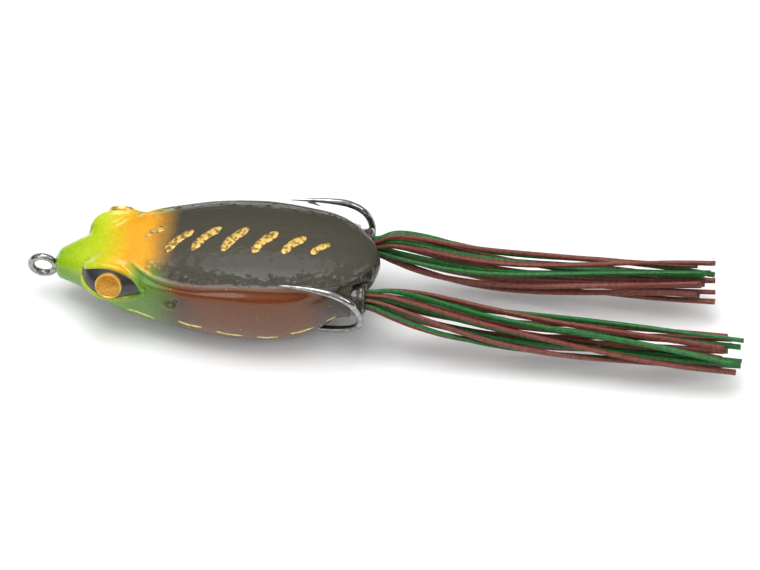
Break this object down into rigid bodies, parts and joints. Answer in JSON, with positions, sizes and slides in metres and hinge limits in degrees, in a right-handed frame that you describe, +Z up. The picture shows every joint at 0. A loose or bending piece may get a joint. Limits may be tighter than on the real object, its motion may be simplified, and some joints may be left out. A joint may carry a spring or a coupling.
{
  "type": "topwater frog lure",
  "caption": "Hollow soft frog-shaped topwater fishing lure with a weedless double hook, a line tie at the nose and two trailing rubber skirt legs",
  "frame": {"origin": "midway between the front of the line tie and the tail of the body, on the surface that the belly rests on", "axes": "+X from the nose to the tail, +Z up through the back, +Y to the lure's own right"},
  "size_m": [0.1422, 0.0274, 0.0218],
  "materials": {
    "body_skin": "painted and clear coated soft vinyl, lime head fading to translucent amber sides",
    "back_skin": "dark olive pebbled soft vinyl, glossy",
    "hook_steel": "bright nickel on steel wire",
    "weight_lead": "dull cast metal",
    "eye_black": "satin black",
    "eye_gold": "gold foil under a clear coat",
    "collar_skin": "dark olive soft vinyl",
    "plug_rubber": "black rubber",
    "strand_brown": "matte reddish-brown silicone rubber",
    "strand_green": "matte green silicone rubber"
  },
  "bodies": {
    "root": {"back_shell": "back_skin", "body_shell": "body_skin", "double_hook": "hook_steel", "keel_weight": "weight_lead", "left_eye_backing": "eye_black", "left_eye_disc": "eye_gold", "left_leg_collar": "collar_skin", "left_skirt_plug": "plug_rubber", "right_eye_backing": "eye_black", "right_eye_disc": "eye_gold", "right_leg_collar": "collar_skin", "right_skirt_plug": "plug_rubber"},
    "left_leg": {"left_strand_01": "strand_brown", "left_strand_02": "strand_green", "left_strand_03": "strand_brown", "left_strand_04": "strand_green", "left_strand_05": "strand_brown", "left_strand_06": "strand_green", "left_strand_07": "strand_brown", "left_strand_08": "strand_green", "left_strand_09": "strand_brown", "left_strand_10": "strand_green", "left_strand_11": "strand_brown", "left_strand_12": "strand_green", "left_strand_13": "strand_brown", "left_strand_14": "strand_green", "left_strand_15": "strand_brown", "left_strand_16": "strand_green"},
    "right_leg": {"right_strand_01": "strand_brown", "right_strand_02": "strand_green", "right_strand_03": "strand_brown", "right_strand_04": "strand_green", "right_strand_05": "strand_brown", "right_strand_06": "strand_green", "right_strand_07": "strand_brown", "right_strand_08": "strand_green", "right_strand_09": "strand_brown", "right_strand_10": "strand_green", "right_strand_11": "strand_brown", "right_strand_12": "strand_green", "right_strand_13": "strand_brown", "right_strand_14": "strand_green", "right_strand_15": "strand_brown", "right_strand_16": "strand_green"}
  },
  "joints": [
    {"name": "left_leg_swing", "type": "hinge", "parent": "root", "child": "left_leg", "pos_m": [0.03386, -0.0069, 0.0132], "axis": [0, 0, 1], "range_deg": [-40, 4], "stiffness_Nm_per_rad": 0.005},
    {"name": "right_leg_swing", "type": "hinge", "parent": "root", "child": "right_leg", "pos_m": [0.03386, 0.0069, 0.0132], "axis": [0, 0, 1], "range_deg": [-4, 40], "stiffness_Nm_per_rad": 0.005}
  ]
}
